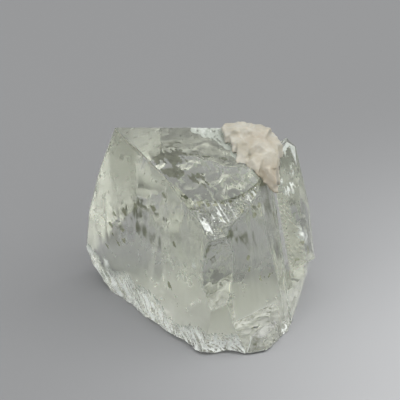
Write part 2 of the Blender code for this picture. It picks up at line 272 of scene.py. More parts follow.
# Streaks: height, width, length, seed, tilt and dish of each layer.
LEFT_STREAKS = ((0.06, 0.9, 3.2, 4, 1.5, 0.4), (0.03, 0.42, 1.7, 5, 1.5, 0.4))
TORN_STREAKS = ((0.5, 0.9, 3.2, 4, 1.5, 0.4), (0.12, 0.42, 1.7, 5, 1.5, 0.4))
MARKS = ((0.16, 1.1, 6.0, 14, 1.3, 0.4), (0.06, 0.5, 3.0, 15, 1.3, 0.4))
RIDGES = ((0.10, 0.9, 9.0, 65, 1.3, 0.5), (0.02, 0.45, 4.0, 66, 1.3, 0.4))
ETCHING = ((0.05, 0.8, 3.5, 67, 1.4, 0.4), (0.01, 0.5, 0.5, 68, 1.4, 0.4))
RIBS = ((0.20, 1.0, 2.5, 58, 1.3, 0.5), (0.08, 0.45, 0.9, 59, 1.3, 0.5))

# Waves: height, width, length and seed of each layer.
LEFT_WAVES = ((0.16, 2.6, 16.0, 3), (0.12, 6.0, 6.0, 8))
FRONT_RIGHT_WAVES = ((0.10, 4.0, 4.0, 16),)

# Places where a face stands out or, below zero, lies back: height, middle and radius on the face.
LEFT_FOOT = (
    (0.8, (-13.0, -8.0), 3.5),
    (0.3, (1.5, -11.5), 4.0),
    (-0.8, (-2.2, -12.2), 1.8),
    (-0.5, (-8.3, -12.3), 2.0),
)
FRONT_NOTCH = ((-1.1, (3.5, 0.0), 3.0),)
TORN = ((1.0, (-7.5, -1.0), 3.6), (0.6, (1.5, -3.0), 3.0))   # where the streaks of the left face are deep
RAKED = ((0.07, (1.8, 0.6), 1.8),)                           # where the sparkling patch has raked lines

# How far each relief stands out as a whole, which balances the depth of its facets.
LIFTS = {
    "left": 0.3, "rim": 0.1, "front": 0.2, "base": -0.1, "frost": 0.03, "front_right": -0.05, "right": -0.08,
    "etched": -0.06,
}
RIM_FADE = 5.0                  # height over which the chips of a rim die out upward
FRONT_RIM = (0.4, 5.0)          # share of the rim's depth that the front has, and where that rim ends
FOOT_SPREAD = 0.5               # how far the whole foot of the left face stands out
FOOT_TOP = -7.0                 # where that foot starts, up from the middle of the face
FOOT_RISE = 4.0                 # height over which it comes to its full spread
BOW = 1.2                       # how far the far left of the left face bows outward
BOW_WIDTH = (3.0, 6.0)          # where the bow starts left of the middle, and over what width it rises
BOW_HEIGHT = (4.0, 11.5)        # middle and half height of the bow
STEP = 0.2                      # height of one step of the base
STEPS = 3                       # most steps that a patch of the base lies above the ground
TREAD = 3.6                     # width of a level patch of the base
TREAD_SEED = 21
BASE_REACH = 0.7                # how far down the patches reach on average, as a share of all the steps
BASE_SWELL = (0.55, 8.0, 23)    # how much that varies over the base, over what width, and seed
BASE_CHANCE = 0.3               # how much it varies from patch to patch
BASE_MIDDLE = (0.7, 30)         # how much further the middle reaches, and its width in square millimetres
CLEARANCE = 3.0                 # how far, or how steeply, a relief rises to leave its neighbour whole
LUMP_EDGES = (-1.5, 5.0)        # right and upper edge of the lump on the front right face
LUMP_FADE = 2.0                 # over what width the relief rises outside them
SIDE_CRYSTAL_EDGE = (0.245, 1.9)  # slope and place of the side crystal's left edge on the right face
RAKE = (10.3, 0.8)              # turn in radians for each millimetre across the raked lines, and their lean
CLIFF = (3.0, 1.0, 0.08, 0.6)   # slope of the cliff over the sparkling patch, its foot, bend and width
SCOOP_AXIS = (0.57, 0.82)       # direction of the scoop's length on its face
SPLINTER_BOW = 0.01             # how the splintered face bends outward to both sides
FROST_CRUMBS = 0.5              # share of the crumbs' height on the frosted wedge


def rim(u, v, top):
    """Chipped hollows that fade out above the given height."""
    fade = np.clip((top - v) / RIM_FADE, 0, 1) ** 2
    return fade * (broken(u, v, RIM_CHIPS) + LIFTS["rim"])


def striated(u, v):
    """Growth lines, torn in two places, with the left flank bowed outward and the foot spread."""
    flare = (FOOT_SPREAD + places(u, v, LEFT_FOOT)) * np.clip((FOOT_TOP - v) / FOOT_RISE, 0, 1)
    start, width = BOW_WIDTH
    middle, half_height = BOW_HEIGHT
    bow = BOW * np.clip((-u - start) / width, 0, 1) * np.clip(1 - ((v - middle) / half_height) ** 2, 0, 1)
    coarse = LIFTS["left"] + flare + bow + waves(u, v, LEFT_WAVES) + rim(u, v, top=FOOT_TOP + 1.0)
    return coarse + streaks(u, v, LEFT_STREAKS) + places(u, v, TORN) * streaks(u, v, TORN_STREAKS)


def conchoidal(u, v):
    """Shell-like hollows, with a notch in the middle of the foot."""
    share, top = FRONT_RIM
    return broken(u, v, SHELLS) + share * rim(u, v, top) + places(u, v, FRONT_NOTCH) + LIFTS["front"]


def streaked(u, v):
    """A growth face with shallow lengthwise marks. The relief lifts clear of the lump at its foot."""
    right, top = LUMP_EDGES
    clear = CLEARANCE * np.clip((top - v) / LUMP_FADE, 0, 1) * np.clip((right - u) / LUMP_FADE, 0, 1)
    return clear + streaks(u, v, MARKS) + LIFTS["front_right"] + waves(u, v, FRONT_RIGHT_WAVES)


def ridged(u, v):
    """The right growth face: long shallow ridges, lifted clear of the side crystal and the nub."""
    slope, place = SIDE_CRYSTAL_EDGE
    return CLEARANCE * np.clip(u - slope * v - place, 0, 1) + LIFTS["right"] + streaks(u, v, RIDGES)


def etched(u, v):
    return LIFTS["etched"] + streaks(u, v, ETCHING)


def stepped(u, v):
    """Cleavage: level patches, in whole steps, of which the outermost lie on the plane itself."""
    x, y, chance = nearest(u, v, TREAD, TREAD_SEED)
    swing, size, seed = BASE_SWELL
    extra, spread = BASE_MIDDLE
    middle = np.exp(-(x * x + y * y) / spread)
    reach = BASE_REACH + swing * swell(x, y, size, seed) + BASE_CHANCE * (chance - 0.5) + extra * middle
    coarse = STEP * np.clip(np.ceil(STEPS * reach) - STEPS, -STEPS, 0)
    return coarse + broken(u, v, BASE_FACETS) + LIFTS["base"]


def chipped(u, v):
    return broken(u, v, BACK_CHIPS)


def splintered(u, v):
    """Coarse broken surface, its top edge drawn as a bow."""
    return broken(u, v, SPLINTERS) + SPLINTER_BOW * u * u


def sparkling(u, v):
    """Fine sparkling facets with raked lines, under a small cliff that rises to the right."""
    turn, lean = RAKE
    slope, foot, bend, width = CLIFF
    rake = np.sin(turn * (u + lean * v)) * places(u, v, RAKED)
    cliff = slope * np.clip(v - foot - bend * u * u, 0, width)
    dish = hollow(u, v, half_width=6.0, half_height=6.0, depth=0.3)
    return dish + broken(u, v, SPARKLE_FACETS) + rake + cliff


def scooped(u, v):
    """Long ribbed hollow whose length leans from upright."""
    across, along = SCOOP_AXIS
    s, t = u * along - v * across, u * across + v * along
    dish = hollow(s, t, half_width=3.4, half_height=7.5, depth=1.1)
    return dish + broken(u, v, SCOOP_SHELLS) + streaks(s, t, RIBS)


def frosted(u, v):
    return FROST_CRUMBS * broken(u, v, CRUMBS) + LIFTS["frost"]


def crumbled(u, v):
    return broken(u, v, CRUMBS)


# Broken faces: outward compass angle and tilt, a point on the face, half width, half height and relief.
BROKEN_FACES = {
    "left": (220.9, 3.2, (-6.5, -3.6, 12.0), 19.0, 17.0, striated),
    "front": (266.0, 1.5, (0.0, -13.1, 0.0), 14.0, 24.0, conchoidal),
    "back": (95.0, 14.0, (0.0, 12.5, 4.0), 18.0, 18.0, chipped),
    "base": (270.0, -90.0, (0.0, 0.0, 0.0), 22.0, 22.0, stepped),
}
# Breaks that take only a piece off the stock, and the growth faces that aren't quite flat.
CHIPS = {
    "sparkle": (286.0, 41.2, (3.0, -9.35, 19.8), 7.0, 6.0, sparkling),
    "scoop": (272.0, 6.0, (2.6, -12.2, 13.5), 7.0, 9.0, scooped),
    "frost": (282.0, 72.4, (-1.5, 1.9, 25.0), 11.0, 9.0, frosted),
    "corner": (164.0, -44.9, (-13.2, 2.3, 1.1), 8.0, 8.0, crumbled),
    "front_right": (311.0, 10.5, (11.6, -7.8, 0.3), 14.0, 26.0, streaked),
    "undercut": (105.0, -18.0, (0.0, 11.3, 9.5), 20.0, 12.0, splintered),
    "right": (347.5, 12.0, (11.3, -7.8, 0.3), 10.0, 24.0, ridged),
    "flank": (328.0, 24.0, (11.09, -0.25, 17.2), 3.5, 4.5, etched),
    "tip": (170.0, 50.0, (10.6, 3.0, 21.9), 2.0, 2.2, etched),
    "nub_top": (348.0, 25.5, (14.0, -1.5, 10.5), 2.2, 2.0, etched),
}


# ---- surface: how rough the clear crystal is, where it is stained or crushed white, and where shade and highlights are painted on it ----

GROWTH_ROUGHNESS = 0.04         # growth faces that aren't named below
ROUGHNESS = {
    "left": 0.12, "front": 0.20, "back": 0.30, "base": 0.50, "sparkle": 0.08, "scoop": 0.16, "frost": 0.55,
    "corner": 0.45, "front_right": 0.14, "undercut": 0.25, "right": 0.20, "flank": 0.08, "tip": 0.15,
    "nub_top": 0.15,
}
SIDE_ROUGHNESS = 0.16           # growth faces right of SIDE_START
SIDE_START = 9.5
BACK_ROUGHNESS = 0.30           # growth faces whose unit direction has more than BACK_FACING along +Y
BACK_FACING = 0.35
RIM_ROUGHNESS = 0.30            # the foot, where the crystal shows between the frost
EDGE_ROUGHNESS = 0.40           # small faces along an edge that sticks out
CRISP_ANGLE = 24.0              # least turn in degrees between the faces of a crisp edge
LARGEST_CHIP = 0.1e-6           # square metres, the largest face that an edge can wear
DULLNESS = 0.30                 # how much rougher the low part of the front and the left is
DULL_TOP = 17.0                 # where that part starts
DULL_FADE = 9.0                 # height over which it comes to its full dullness
DULL_FACES = ("left", "front", "front_right")

RIM_FACES = ("left", "front", "front_right", "corner", "growth")      # faces that the frosted foot crosses
FROST_TOP = 3.2                 # mean height of the frosted foot on the right
FROST_SLOPE = 0.16              # how much it rises for each millimetre to the left, from x = 0
FROST_END = 14.0                # how far to the left it still rises
FROST_WAVE = (1.6, 3.1, 91)     # how far its upper edge wanders, the width of those waves, and seed
FROST_FADE = 1.6                # height over which it dies out upward
WAVE_ORIGIN = 40.0              # moves the waves off the axes
BLOTCH_SHEAR = (0.7, -0.6)      # how far blotches move along x and y for each millimetre up

CLEAR, FROST_OR_HIGHLIGHT, STAIN_OR_SHADE = 0, 1, 2   # material slots of the topaz: clear, frost with painted highlights, film with painted shade
SPOT_EDGE = 0.2                 # least strength of a spot that shows
FINE_GRAIN = (0.32, 93)         # size and seed of the blotches that break up films and painted shade
OTHER_GRAIN = (0.22, 95)        # the same for white places
FILM_OR_SHADE_GRAIN = 0.6                # how much blotches break up a film or painted shade
FILM_OR_SHADE_LEVEL = 0.5                # least strength of a film or painted shade, blotches included
CRUSHED_OR_HIGHLIGHT_WEIGHT = 0.9             # how much the strength of a crushed place or painted highlight counts beside its blotches
CRUSHED_OR_HIGHLIGHT_LEVEL = 0.55             # least strength of a crushed place or painted highlight, blotches included
DULL_FROST = 0.05               # whiteness, from 0 to 1, of frost away from the crushed places and painted highlights
FOOT_WHITE = 0.9                # whiteness of the foot and of the specks in the undercut, which are partly painted glints seen through the roof
SPARKLE_GLINT_WHITE = 0.6             # whiteness of the painted glints among the sparkling facets
FOOT_START = 0.3                # how far into the frosted foot, from 0 to 1, its frost starts
GLINTS = 0.62                   # how few of the sparkling facets are painted white glints or painted dark shade, from -1 to 1
DUSTING = 0.0                   # how much of the foot stays clear, on the same scale
FROST_GAPS = -0.5               # how much of the frosted wedge stays clear, on the same scale
BASE_CLEAR = 0.5                # how much of the base has no dark film of painted shade, on the same scale
UNDERCUT_CLEAR = 0.4            # how much of the undercut has no white specks, on the same scale

# Brown-green films, which also serve as painted shade where the view through the crystal is dark: middle,
# radius and strength of each spot.
BACK_FILMS_AND_SHADE = (
    ((-5.6, 9.4, 10.8), 1.8, 1.0), ((-3.6, 10.0, 10.2), 1.8, 1.0), ((-4.0, 10.0, 7.8), 1.5, 1.0),
    ((-1.0, 10.0, 10.4), 0.8, 0.8), ((0.5, 10.5, 9.8), 0.6, 0.8), ((2.8, 11.0, 9.3), 0.6, 0.7),
    ((-1.0, 10.0, 6.2), 1.1, 0.9), ((0.0, 10.0, 4.8), 0.8, 0.8), ((-9.2, 9.0, 6.6), 1.8, 0.6),
    ((-8.2, 9.0, 9.2), 0.6, 0.6), ((-8.5, 9.0, 8.5), 4.0, 0.36),
)
LEFT_FILMS_AND_SHADE = (
    ((-11.4, 0.7, 12.8), 0.45, 0.8), ((-10.0, -0.4, 13.8), 0.5, 0.8), ((-8.6, -1.3, 15.2), 0.4, 0.8),
    ((-12.1, 1.4, 10.6), 0.4, 0.7), ((-11.9, 1.2, 9.2), 0.45, 0.8), ((-11.1, 0.5, 8.4), 0.5, 0.8),
    ((-10.5, -0.1, 10.8), 0.4, 0.7), ((-10.2, -0.4, 9.4), 0.4, 0.7), ((-12.5, 1.8, 7.1), 0.4, 0.7),
    ((-6.2, -3.8, 16.5), 0.5, 0.7), ((-4.8, -5.3, 19.2), 0.6, 0.7), ((-3.4, -7.4, 13.4), 0.4, 0.8),
    ((-4.1, -7.1, 6.8), 0.6, 0.6),
)
# Painted shade: a dark line along the top edge of the sparkling patch, in the crease under the roof.
ROOF_EDGE_SHADE = (
    ((-0.2, -8.8, 20.4), 0.4, 1.0), ((0.6, -8.8, 20.2), 0.35, 1.0), ((1.6, -8.8, 20.2), 0.35, 1.0),
    ((2.5, -8.3, 20.2), 0.3, 0.9), ((3.4, -7.9, 20.2), 0.35, 1.0), ((4.2, -7.4, 20.3), 0.3, 0.9),
    ((5.1, -7.0, 20.4), 0.35, 1.0), ((6.0, -6.6, 21.1), 0.35, 0.9), ((6.7, -6.0, 21.4), 0.35, 1.0),
)
FRONT_RIGHT_FILMS_AND_SHADE = (
    ((5.8, -9.7, 12.8), 0.3, 0.9), ((5.9, -10.0, 11.2), 0.3, 0.9), ((7.6, -8.8, 9.2), 0.5, 0.6),
    ((8.7, -7.9, 9.0), 0.5, 0.6), ((7.2, -6.8, 18.8), 0.4, 0.7), ((6.6, -7.6, 17.9), 0.4, 0.7),
    ((5.6, -8.8, 17.1), 0.4, 0.6),
)
# Painted shade: the dark underside of the nub and the dark edge above its top.
NUB_SHADE = (
    ((13.8, -1.7, 8.7), 0.6, 0.8), ((14.4, -1.2, 9.0), 0.5, 0.8), ((13.1, -2.8, 10.5), 0.4, 0.6),
    ((12.2, -3.5, 8.4), 0.4, 0.6), ((13.4, -0.9, 11.6), 0.5, 0.8), ((14.0, 0.4, 10.9), 0.5, 0.8),
)
# Films and painted shade together.
FILMS_AND_SHADE = BACK_FILMS_AND_SHADE + LEFT_FILMS_AND_SHADE + ROOF_EDGE_SHADE + FRONT_RIGHT_FILMS_AND_SHADE + NUB_SHADE

# White crushed places and painted highlights, in the same way.
FOOT_CRUSHED = (
    ((-12.9, 2.4, 4.1), 0.8, 0.85), ((-13.2, 2.4, 2.5), 0.8, 0.85), ((-10.1, -0.7, 3.8), 0.6, 0.85),
    ((-8.6, -2.5, 2.0), 0.8, 0.85), ((-8.0, -3.2, 3.1), 0.6, 0.8), ((-7.1, -5.2, 1.1), 0.8, 0.85),
    ((-6.0, -6.5, 1.3), 0.7, 0.85), ((-3.9, -8.6, 0.9), 0.8, 0.85), ((-2.8, -9.8, 1.0), 0.5, 0.8),
    ((-1.5, -10.6, 1.1), 0.5, 0.8),
)
# Painted highlights on the edges of the lump and on the ridge of the right face above it.
LUMP_HIGHLIGHTS = (
    ((6.1, -11.9, 2.9), 0.5, 0.8), ((7.0, -11.1, 2.9), 0.6, 0.8), ((8.9, -10.9, 1.7), 0.5, 0.8),
    ((11.4, -4.8, 3.0), 0.4, 0.8), ((11.2, -4.7, 3.7), 0.4, 0.8),
)
# Painted highlights down the side crystal's flank, and the frosty white of its tip.
SIDE_CRYSTAL_HIGHLIGHTS_AND_FROST = (
    ((11.8, 2.1, 18.7), 0.8, 0.8), ((11.6, 0.6, 17.2), 0.9, 0.9), ((11.1, -0.4, 17.1), 0.7, 0.9),
    ((10.1, -0.5, 18.7), 0.5, 0.9), ((10.7, 3.0, 21.8), 1.4, 0.7), ((10.1, 4.4, 21.5), 1.2, 0.7),
)
# Painted highlights on the top of the nub and a glint beside it.
NUB_HIGHLIGHTS = (((13.2, -2.2, 11.8), 0.9, 0.9), ((13.9, -1.5, 10.6), 1.0, 0.9), ((11.3, -3.0, 11.8), 0.4, 0.9))
# Painted glints on the sparkling patch, and crushed white below it on the front and at the frosted wedge.
FRONT_CRUSHED_AND_GLINTS = (
    ((-1.1, -10.3, 12.1), 0.6, 0.7), ((0.2, -11.4, 13.6), 0.6, 0.7), ((0.6, -10.6, 18.2), 0.8, 0.5),
    ((1.6, -9.6, 19.1), 0.6, 0.4), ((-0.2, 1.6, 24.8), 1.4, 0.35),
)
CRUSHED_AND_HIGHLIGHTS = FOOT_CRUSHED + LUMP_HIGHLIGHTS + SIDE_CRYSTAL_HIGHLIGHTS_AND_FROST + NUB_HIGHLIGHTS + FRONT_CRUSHED_AND_GLINTS

TAN = (((6.8, -0.2, 23.6), 1.6, 0.9), ((8.2, -4.0, 21.0), 2.2, 0.6))     # the same for tan feldspar


def near_spots(points, spots):
    """Strength of the strongest of a list of soft round spots at each point."""
    found = np.zeros(len(points))
    for middle, radius, strength in spots:
        away = ((points - np.array(middle)) ** 2).sum(axis=1)
        found = np.maximum(found, strength * np.exp(-away / radius ** 2))
    return found


def blotches(points, size, seed):
    """Blotches from -1 to 1 that vary in all three directions."""
    x, y, z = points.T
    along_x, along_y = BLOTCH_SHEAR
    return swell(x + along_x * z + WAVE_ORIGIN, y + along_y * z + WAVE_ORIGIN, size, seed)


def in_frosted_foot(names, points):
    """How far each face lies in the frosted foot, from 0 to 1."""
    x, y, z = points.T
    swing, size, seed = FROST_WAVE
    wave = swing * swell(x + WAVE_ORIGIN, y + WAVE_ORIGIN, size, seed)
    top = FROST_TOP + FROST_SLOPE * np.clip(-x, 0, FROST_END) + wave
    return np.clip((top - z) / FROST_FADE, 0, 1) * np.isin(names, RIM_FACES)


def clear_roughness(names, points, normals, foot):
    """Roughness of each face where it is clear."""
    rough = np.array([ROUGHNESS.get(name, GROWTH_ROUGHNESS) for name in names])
    growth = names == "growth"
    rough[growth & (points[:, 0] > SIDE_START)] = SIDE_ROUGHNESS
    rough[growth & (normals[:, 1] > BACK_FACING)] = BACK_ROUGHNESS
    rough += (RIM_ROUGHNESS - rough) * foot
    low = np.clip((DULL_TOP - points[:, 2]) / DULL_FADE, 0, 1) * np.isin(names, DULL_FACES)
    return rough + DULLNESS * low * (1 - foot)


def choose_slots(names, points, foot):
    """Material slot of each face of the topaz, painted shade and painted highlights among the opaque ones,
    and how white it is where it is frost or a highlight.
    """
    fine, other = blotches(points, *FINE_GRAIN), blotches(points, *OTHER_GRAIN)
    film_or_shade, crushed_or_highlight = near_spots(points, FILMS_AND_SHADE), near_spots(points, CRUSHED_AND_HIGHLIGHTS)
    slots = np.full(len(names), CLEAR)
    # Films, and dark spots of painted shade.
    slots[(film_or_shade > SPOT_EDGE) & (film_or_shade + FILM_OR_SHADE_GRAIN * fine > FILM_OR_SHADE_LEVEL)] = STAIN_OR_SHADE
    # Crushed places, and white spots of painted highlights.
    slots[(crushed_or_highlight > SPOT_EDGE) & (CRUSHED_OR_HIGHLIGHT_WEIGHT * crushed_or_highlight + other > CRUSHED_OR_HIGHLIGHT_LEVEL)] = FROST_OR_HIGHLIGHT
    slots[(names == "frost") & (other > FROST_GAPS)] = FROST_OR_HIGHLIGHT
    slots[(foot > FOOT_START) & (other > DUSTING)] = FROST_OR_HIGHLIGHT
    # Painted shade: dark film over part of the base.
    slots[(names == "base") & (other > BASE_CLEAR)] = STAIN_OR_SHADE
    # White specks in the undercut: milky haze, and partly painted glints seen through the roof.
    milky_or_glint = (names == "undercut") & (fine > UNDERCUT_CLEAR) & (slots != STAIN_OR_SHADE)
    slots[milky_or_glint] = FROST_OR_HIGHLIGHT
    # Painted glints and painted shade on the sparkling facets.
    sparkle = names == "sparkle"
    slots[sparkle & (other > GLINTS)] = FROST_OR_HIGHLIGHT
    slots[sparkle & (fine < -GLINTS)] = STAIN_OR_SHADE
    white = np.maximum(FOOT_WHITE * np.maximum(foot, milky_or_glint), SPARKLE_GLINT_WHITE * sparkle)
    return slots, np.maximum(white, np.maximum(crushed_or_highlight, DULL_FROST))


# ---- solids ----

def solid(name, mesh):
    """Object made of a finished mesh, its faces turned outward."""
    bmesh.ops.recalc_face_normals(mesh, faces=mesh.faces)
    data = bpy.data.meshes.new(name)
    mesh.to_mesh(data)
    mesh.free()
    made = bpy.data.objects.new(name, data)
    bpy.context.scene.collection.objects.link(made)
    return made


def relief_block(name, compass, tilt, point, half_width, half_height, relief, grid=GRID):
    """Closed block outside a face: its inner side is the face with the relief, its outer side is flat."""
    columns, rows = round(half_width / grid), round(half_height / grid)
    mesh = bmesh.new()
    bmesh.ops.create_grid(mesh, x_segments=2 * columns, y_segments=2 * rows, size=1.0)
    bmesh.ops.triangulate(mesh, faces=mesh.faces, quad_method="ALTERNATE")
    bmesh.ops.scale(mesh, verts=mesh.verts, vec=(columns * grid, rows * grid, 1.0))
    flat = np.array([vert.co for vert in mesh.verts])
    for vert, height in zip(mesh.verts, relief(flat[:, 0], flat[:, 1])):
        vert.co.z = height
    border = [edge for edge in mesh.edges if edge.is_boundary]
    wall = bmesh.ops.extrude_edge_only(mesh, edges=border)["geom"]
    for vert in (g for g in wall if isinstance(g, bmesh.types.BMVert)):
        vert.co.z = FAR
    bmesh.ops.holes_fill(mesh, edges=[edge for edge in mesh.edges if edge.is_boundary])
    outward, across = direction(compass, tilt), direction(compass + 90, 0)
    turn = Matrix((across, outward.cross(across), outward)).transposed()
    bmesh.ops.transform(mesh, verts=mesh.verts, matrix=Matrix.Translation(point) @ turn.to_4x4())
    bmesh.ops.scale(mesh, verts=mesh.verts, vec=(MM, MM, MM))
    return solid(name, mesh)


def growth_block(name, faces, reach=STOCK):
    """Convex solid: what is left of a cube once everything outside each face is cut away."""
    mesh = bmesh.new()
    bmesh.ops.create_cube(mesh, size=2 * reach * MM)
    for compass, tilt, point in faces:
        whole = mesh.verts[:] + mesh.edges[:] + mesh.faces[:]
        facing = direction(compass, tilt)
        made = bmesh.ops.bisect_plane(
            mesh, geom=whole, plane_co=Vector(point) * MM, plane_no=facing, clear_outer=True
        )
        outline = [edge for edge in made["geom_cut"] if isinstance(edge, bmesh.types.BMEdge)]
        bmesh.ops.edgeloop_fill(mesh, edges=outline)
    return solid(name, mesh)


def moved_out(face, distance):
    """The same flat face a distance further out."""
    compass, tilt, point = face[:3]
    return compass, tilt, Vector(point) + direction(compass, tilt) * distance


def grain_faces(number, half):
    """Faces of one feldspar grain: a block with clipped upper corners."""
    x, y, z = half
    faces = [
        (0, 0, (x, 0, 0)), (180, 0, (-x, 0, 0)), (90, 0, (0, y, 0)),
        (270, 0, (0, -y, 0)), (0, 90, (0, 0, z)), (0, -90, (0, 0, -z)),
    ]
    for corner in range(CORNERS):
        p, q, r = (float(f) for f in fractions(np.int64(number), np.int64(corner), CORNER_SEED))
        compass = 45 + 90 * corner + CORNER_TURN * (p - 0.5)
        facing = direction(compass, CORNER_TILT[0] + CORNER_TILT[1] * q)
        faces.append((*angles(facing), facing * (min(half) * (CORNER_DEPTH[0] + CORNER_DEPTH[1] * r))))
    return faces


def grain_cluster(name, grains):
    """Grains that overlap one another, all in one mesh."""
    mesh = bmesh.new()
    for number, (centre, half, turn, lean) in enumerate(grains):
        placed = Matrix.Translation(Vector(centre) * MM) @ Matrix.Rotation(math.radians(turn), 4, "Z")
        placed = placed @ Matrix.Rotation(math.radians(-lean), 4, "X")
        grain = growth_block(name, grain_faces(number, half), 2 * max(half))
        grain.data.transform(placed)
        mesh.from_mesh(grain.data)
        bpy.data.objects.remove(grain)
    return solid(name, mesh)


def apply_modifiers(body):
    graph = bpy.context.evaluated_depsgraph_get()
    graph.update()
    finished = bpy.data.meshes.new_from_object(
        body.evaluated_get(graph), preserve_all_data_layers=True, depsgraph=graph
    )
    body.modifiers.clear()
    body.data = finished


def combine(body, tool, kind="DIFFERENCE", overlapping=False):
    """Cuts the tool from the body, or joins it, and removes the tool. New faces keep the tool's material."""
    modifier = body.modifiers.new(tool.name, "BOOLEAN")
    modifier.operation = kind
    modifier.object = tool
    modifier.solver = "EXACT"
    modifier.use_self = overlapping
    modifier.material_mode = "TRANSFER"
    apply_modifiers(body)
    bpy.data.objects.remove(tool)


def tagged(body, tag):
    """Marks a tool's faces with a stand-in material that the cut carries over to the body."""
    body.data.materials.append(bpy.data.materials.get(tag) or bpy.data.materials.new(tag))
    return body


def build_topaz():
    """The crystal, each face marked with the name of the face or tool that made it."""
    limits = [moved_out(face, MARGIN) for face in BROKEN_FACES.values()]
    topaz = tagged(growth_block("topaz", list(GROWTH_FACES.values()) + limits), "growth")
    above_seat = (SEAT[0] + 180, -SEAT[1], SEAT[2])
    combine(topaz, tagged(growth_block("cut_seat", [above_seat]), "frost"))
    for name, faces in OUTGROWTHS.items():
        combine(topaz, tagged(growth_block(name, faces.values()), "growth"), "UNION")
    for name, face in {**BROKEN_FACES, **CHIPS}.items():
        grid = SPARKLE_GRID if name == "sparkle" else GRID
        combine(topaz, tagged(relief_block("cut_" + name, *face, grid=grid), name))
    return topaz


def build_feldspar():
    """The cluster, trimmed to its seat and to the roof, with an uneven surface."""
    feldspar = grain_cluster("feldspar", GRAINS)
    under = [SEAT, GROWTH_FACES["roof_front"], GROWTH_FACES["roof_back"]]
    combine(feldspar, growth_block("cut_below_seat", under), overlapping=True)
    remesh = feldspar.modifiers.new("grain", "REMESH")
    remesh.mode = "VOXEL"
    remesh.voxel_size = GRAIN_VOXEL * MM
    apply_modifiers(feldspar)
    vertices = feldspar.data.vertices
    normals = [vert.normal.copy() for vert in vertices]
    for vert, normal in zip(vertices, normals):
        place = vert.co / MM
        lift = sum(height * noise.noise(place * pitch) for height, pitch in GRAIN_WAVES) - GRAIN_SINK
        vert.co += normal * lift * MM
    return feldspar


def read_faces(data):
    """Name of the tool that made each face, its middle in millimetres and its direction."""
    count = len(data.polygons)
    index = np.zeros(count, dtype=np.int32)
    centres, normals = np.empty(count * 3, dtype=np.float32), np.empty(count * 3, dtype=np.float32)
    data.polygons.foreach_get("material_index", index)
    data.polygons.foreach_get("center", centres)
    data.polygons.foreach_get("normal", normals)
    names = np.array([slot.name for slot in data.materials])[index]
    return names, centres.reshape(-1, 3).astype(float) / MM, normals.reshape(-1, 3)


def wear_edges(mesh):
    """Marks the crisp edges, and raises the stored roughness or whiteness of the small faces along those that
    stick out.
    """
    finish = mesh.faces.layers.float["finish"]
    for edge in (e for e in mesh.edges if len(e.link_faces) == 2):
        first, second = edge.link_faces
        turn = math.degrees(edge.calc_face_angle())
        edge.smooth = first.material_index == second.material_index and turn < CRISP_ANGLE
        if turn > CRISP_ANGLE and edge.is_convex:
            for face in (f for f in edge.link_faces if f.calc_area() < LARGEST_CHIP):
                face[finish] = max(face[finish], EDGE_ROUGHNESS)


def finish_surface(data):
    """Gives each face its slot, and stores its roughness, or its whiteness where it is frost or a painted
    highlight.
    """
    names, points, normals = read_faces(data)
    foot = in_frosted_foot(names, points)
    slots, whiteness = choose_slots(names, points, foot)
    # Whiteness where the face is frost or a painted highlight, roughness elsewhere.
    values = np.where(slots == FROST_OR_HIGHLIGHT, whiteness, clear_roughness(names, points, normals, foot))
    finish = data.attributes.new("finish", "FLOAT", "FACE")
    finish.data.foreach_set("value", values.astype(np.float32))
    mesh = bmesh.new()
    mesh.from_mesh(data)
    wear_edges(mesh)
    for face, slot in zip(mesh.faces, slots):
        face.smooth = True
        face.material_index = int(slot)
    data.materials.clear()
    mesh.to_mesh(data)
    mesh.free()


def keep_inside(body, box):
    """Holds every point inside the CAD box."""
    low, high = np.array(box[0]), np.array(box[1])
    co = np.empty(len(body.data.vertices) * 3, dtype=np.float32)
    body.data.vertices.foreach_get("co", co)
    body.data.vertices.foreach_set("co", np.clip(co.reshape(-1, 3), low, high).astype(np.float32).ravel())
    body.data.update()


# ---- materials: colours are linear, and scales count waves in a metre ----

WHITE = (1.0, 1.0, 1.0)
TOPAZ_IOR = 1.61
TOPAZ_TINT = (0.59, 0.665, 0.33)          # colour that deep crystal takes on
TOPAZ_DENSITY = 12.0                      # how fast it does, per metre
PATCH_SCALE = 900.0                       # patches in which the clear crystal's roughness varies
PATCH_DETAIL = 4.0
PATCH_RANGE = {"From_Min": 0.3, "From_Max": 0.7, "To_Min": 0.6, "To_Max": 1.0}
# Frost colours; the light one also serves the painted highlights.
FROST_DARK = (0.31, 0.335, 0.295)
FROST_AND_HIGHLIGHT_LIGHT = (0.90, 0.93, 0.89)
CRUMB_SCALE = 2600.0
CRUMB_SHADE = -0.35                       # painted shade in the gaps between crumbs: what it takes off the whiteness
FROST_ROUGHNESS = 0.35
# Film colours, which also serve as painted shade.
FILM_AND_SHADE_DARK = (0.15, 0.16, 0.10)
FILM_AND_SHADE_LIGHT = (0.30, 0.31, 0.23)
FILM_AND_SHADE_RANGE = (0.35, 0.65)                 # texture values at the dark and the light colour
FILM_AND_SHADE_SCALE = 1500.0
FILM_AND_SHADE_ROUGHNESS = 0.6
CREAM_DARK = (0.335, 0.313, 0.25)
CREAM_LIGHT = (0.43, 0.415, 0.36)
CREAM_RANGE = (0.35, 0.62)
CREAM_SCALE = 420.0
CREAM_DETAIL = 6.0
TAN_COLOR = (0.23, 0.18, 0.115)
FELDSPAR_ROUGHNESS = 0.6
FELDSPAR_SCATTER = 0.6
SCATTER_REACH = (0.0030, 0.0024, 0.0018)  # metres that red, green and blue travel under the surface
FLOOR_COLOR = (0.22, 0.223, 0.227)
FLOOR_ROUGHNESS = 0.7


def with_alpha(color):
    return (*color, 1.0)


def new_material(name):
    made = bpy.data.materials.new(name)
    made.use_nodes = True
    return made, made.node_tree, made.node_tree.nodes["Principled BSDF"]


